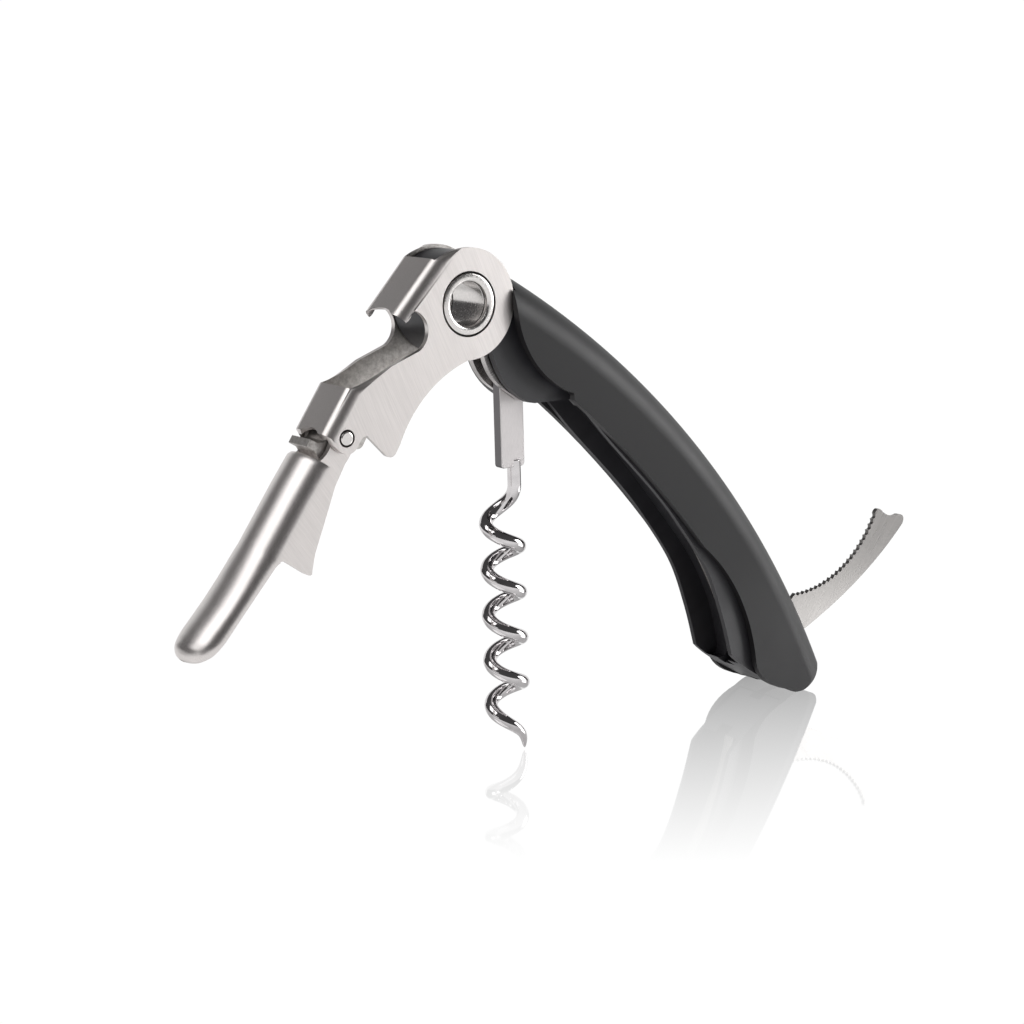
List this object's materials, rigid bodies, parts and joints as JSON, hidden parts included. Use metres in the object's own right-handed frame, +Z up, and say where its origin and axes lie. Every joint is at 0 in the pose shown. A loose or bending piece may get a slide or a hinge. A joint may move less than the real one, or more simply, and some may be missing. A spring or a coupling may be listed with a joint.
{
  "type": "lever corkscrew",
  "caption": "Two-stage waiter's corkscrew with a curved soft-touch handle, folding worm, hinged double lever with cap lifter, and a serrated foil knife.",
  "frame": {"origin": "middle of the foot of the bounding box, in the display pose that stands on the worm's tip and the handle's end", "axes": "+X from the lever's tip towards the handle and knife, +Y across the thickness along every hinge, +Z up; the handle, worm and levers lie in the XZ plane"},
  "size_m": [0.1718, 0.0144, 0.0924],
  "materials": {
    "soft_touch": "fine matte soft-touch coating, black",
    "frame_plastic": "moulded nylon, dark grey, satin",
    "lever_steel": "stamped stainless sheet, brushed",
    "pivot_steel": "turned stainless steel, satin",
    "liner_steel": "blanked steel plate, bright edges",
    "raw_steel": "unfinished steel, dull and slightly pitted",
    "worm_steel": "polished plated wire",
    "blade_steel": "ground across the blade, satin"
  },
  "bodies": {
    "handle": {"handle_shell": "soft_touch", "handle_frame": "frame_plastic", "liner_near": "liner_steel", "liner_far": "liner_steel", "liner_rivet_front": "raw_steel", "liner_rivet_rear": "raw_steel", "worm_pin": "raw_steel", "pivot_tube": "pivot_steel", "pivot_collar_near": "pivot_steel", "pivot_collar_far": "pivot_steel", "knife_pin": "raw_steel", "knife_washer_near": "liner_steel", "knife_washer_far": "liner_steel", "knife_backspring": "raw_steel", "spring_pin": "raw_steel"},
    "upper_lever": {"lever_upper": "lever_steel", "lever_pin": "pivot_steel"},
    "lower_lever": {"lever_lower": "lever_steel", "lever_stop_plate": "raw_steel"},
    "worm": {"worm": "worm_steel"},
    "knife": {"knife_blade": "blade_steel"}
  },
  "joints": [
    {"name": "lever_fold", "type": "hinge", "parent": "handle", "child": "upper_lever", "pos_m": [-0.03177, 0, 0.0828], "axis": [0, -1, 0], "range_deg": [-90, 83]},
    {"name": "worm_fold", "type": "hinge", "parent": "handle", "child": "worm", "pos_m": [-0.01947, 0, 0.0701], "axis": [0, -1, 0], "range_deg": [-45, 41.5]},
    {"name": "lever_joint", "type": "hinge", "parent": "upper_lever", "child": "lower_lever", "pos_m": [-0.05677, 0, 0.0623], "axis": [0, -1, 0], "range_deg": [-10, 1]},
    {"name": "knife_fold", "type": "hinge", "parent": "handle", "child": "knife", "pos_m": [0.04694, 0, 0.012], "axis": [0, -1, 0], "range_deg": [-80, 96]}
  ],
  "couplings": [
    {"joint": "worm_fold", "follows": "lever_fold", "ratio": 0.5}
  ]
}
